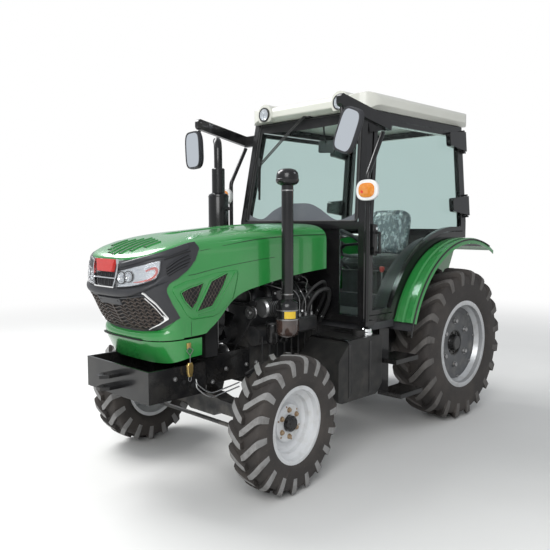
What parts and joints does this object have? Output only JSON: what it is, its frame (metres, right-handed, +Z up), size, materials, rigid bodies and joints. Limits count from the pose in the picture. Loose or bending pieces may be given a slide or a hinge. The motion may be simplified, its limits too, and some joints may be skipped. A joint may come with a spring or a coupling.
{
  "type": "farm tractor",
  "caption": "Compact farm tractor with a glazed cab, tilting hood, steered front wheels, rear-hinged doors, front tow clevis and a rear three-point hitch.",
  "frame": {"origin": "centre of the bounding box's bottom, on the ground plane under the tractor", "axes": "+X forward to the tow clevis, +Y to the tractor's left, +Z up"},
  "size_m": [3.505, 1.63, 2.4445],
  "materials": {
    "green": "gloss",
    "charcoal": "satin",
    "black_metal": "gloss",
    "engine_paint": "matte",
    "rim_silver": "satin",
    "rim_white": "satin",
    "tyre": "matte",
    "roof_white": "gloss",
    "glass": "clear",
    "lamp": "gloss",
    "headlamp": "polished",
    "mesh": "satin",
    "tank": "gloss",
    "seat_cloth": "matte",
    "inner_plastic": "matte",
    "steel": "satin"
  },
  "bodies": {
    "chassis": {"engine": "engine_paint", "transmission": "engine_paint", "front_support": "black_metal", "front_axle_beam": "black_metal", "radiator_unit": "black_metal", "chin_panel": "green", "exhaust": "black_metal", "air_cleaner": "black_metal", "fuel_tank": "tank", "battery_box": "tank", "steps": "black_metal", "cab_frame": "black_metal", "cab_panels": "black_metal", "cab_floor": "inner_plastic", "cab_glass": "glass", "roof": "roof_white", "fender_left": "green", "fender_right": "green", "seat": "seat_cloth", "dash_console": "inner_plastic", "control_levers": "inner_plastic", "cab_trim": "black_metal", "mirror_heads": "black_metal", "lamps": "lamp", "drawbar": "steel"},
    "hood": {"hood_shell": "green", "hood_fascia": "charcoal", "hood_grille": "mesh", "headlamps": "headlamp"},
    "door_left": {"door_frame_left": "black_metal", "door_glass_left": "glass"},
    "door_right": {"door_frame_right": "black_metal", "door_glass_right": "glass"},
    "steer_left": {"knuckle_left": "black_metal"},
    "steer_right": {"knuckle_right": "black_metal"},
    "tie_rod": {"tie_rod": "steel"},
    "wheel_front_left": {"rim_front_left": "rim_white", "tyre_front_left": "tyre"},
    "wheel_front_right": {"rim_front_right": "rim_white", "tyre_front_right": "tyre"},
    "wheel_rear_left": {"rim_rear_left": "rim_silver", "tyre_rear_left": "tyre"},
    "wheel_rear_right": {"rim_rear_right": "rim_silver", "tyre_rear_right": "tyre"},
    "steering_wheel": {"steering_wheel": "inner_plastic"},
    "lift_arms": {"lift_arms": "steel"},
    "lift_rods": {"lift_rods": "steel"},
    "lower_links": {"lower_links": "steel"},
    "top_link": {"top_link": "steel"}
  },
  "joints": [
    {"name": "front_left_steer", "type": "hinge", "parent": "chassis", "child": "steer_left", "pos_m": [0.9875, 0.52, 0.388], "axis": [0, 0, 1], "range_deg": [-46, 34]},
    {"name": "front_right_steer", "type": "hinge", "parent": "chassis", "child": "steer_right", "pos_m": [0.9875, -0.52, 0.388], "axis": [0, 0, 1], "range_deg": [-46, 34]},
    {"name": "tie_rod_swing", "type": "hinge", "parent": "steer_left", "child": "tie_rod", "pos_m": [1.13668, 0.53568, 0.343], "axis": [0, 0, 1], "range_deg": [-34, 46]},
    {"name": "front_left_spin", "type": "hinge", "parent": "steer_left", "child": "wheel_front_left", "pos_m": [0.9875, 0.52, 0.388], "axis": [-0.1045, 0.9945, 0], "continuous": true},
    {"name": "front_right_spin", "type": "hinge", "parent": "steer_right", "child": "wheel_front_right", "pos_m": [0.9875, -0.52, 0.388], "axis": [-0.1045, 0.9945, 0], "continuous": true},
    {"name": "rear_left_spin", "type": "hinge", "parent": "chassis", "child": "wheel_rear_left", "pos_m": [-0.9525, 0.563, 0.574], "axis": [0, 1, 0], "continuous": true},
    {"name": "rear_right_spin", "type": "hinge", "parent": "chassis", "child": "wheel_rear_right", "pos_m": [-0.9525, -0.563, 0.574], "axis": [0, 1, 0], "continuous": true},
    {"name": "door_left_hinge", "type": "hinge", "parent": "chassis", "child": "door_left", "pos_m": [-1.1205, 0.60506, 1.60136], "axis": [0, -0.0732, 0.9973], "range_deg": [0, 70]},
    {"name": "door_right_hinge", "type": "hinge", "parent": "chassis", "child": "door_right", "pos_m": [-1.1205, -0.60506, 1.60136], "axis": [0, -0.0732, -0.9973], "range_deg": [0, 70]},
    {"name": "hood_hinge", "type": "hinge", "parent": "chassis", "child": "hood", "pos_m": [0.2875, 0, 1.44], "axis": [0, -1, 0], "range_deg": [0, 50]},
    {"name": "steering_wheel_spin", "type": "hinge", "parent": "chassis", "child": "steering_wheel", "pos_m": [-0.3125, 0, 1.33], "axis": [-0.5736, 0, 0.8192], "continuous": true},
    {"name": "lift_arms_swing", "type": "hinge", "parent": "chassis", "child": "lift_arms", "pos_m": [-1.0475, 0, 0.7], "axis": [0, 1, 0], "range_deg": [-22, 35]},
    {"name": "lift_rods_swing", "type": "hinge", "parent": "lift_arms", "child": "lift_rods", "pos_m": [-1.3075, 0, 0.7], "axis": [0, 1, 0], "range_deg": [-35, 22]},
    {"name": "lower_links_swing", "type": "hinge", "parent": "chassis", "child": "lower_links", "pos_m": [-1.0475, 0, 0.43], "axis": [0, 1, 0], "range_deg": [-22, 35]},
    {"name": "top_link_swing", "type": "hinge", "parent": "chassis", "child": "top_link", "pos_m": [-1.1775, 0, 0.65], "axis": [0, 1, 0], "range_deg": [-20, 45]}
  ],
  "couplings": [
    {"joint": "front_right_steer", "follows": "front_left_steer", "ratio": 1},
    {"joint": "tie_rod_swing", "follows": "front_left_steer", "ratio": -1},
    {"joint": "lower_links_swing", "follows": "lift_arms_swing", "ratio": 1},
    {"joint": "lift_rods_swing", "follows": "lift_arms_swing", "ratio": -1}
  ]
}
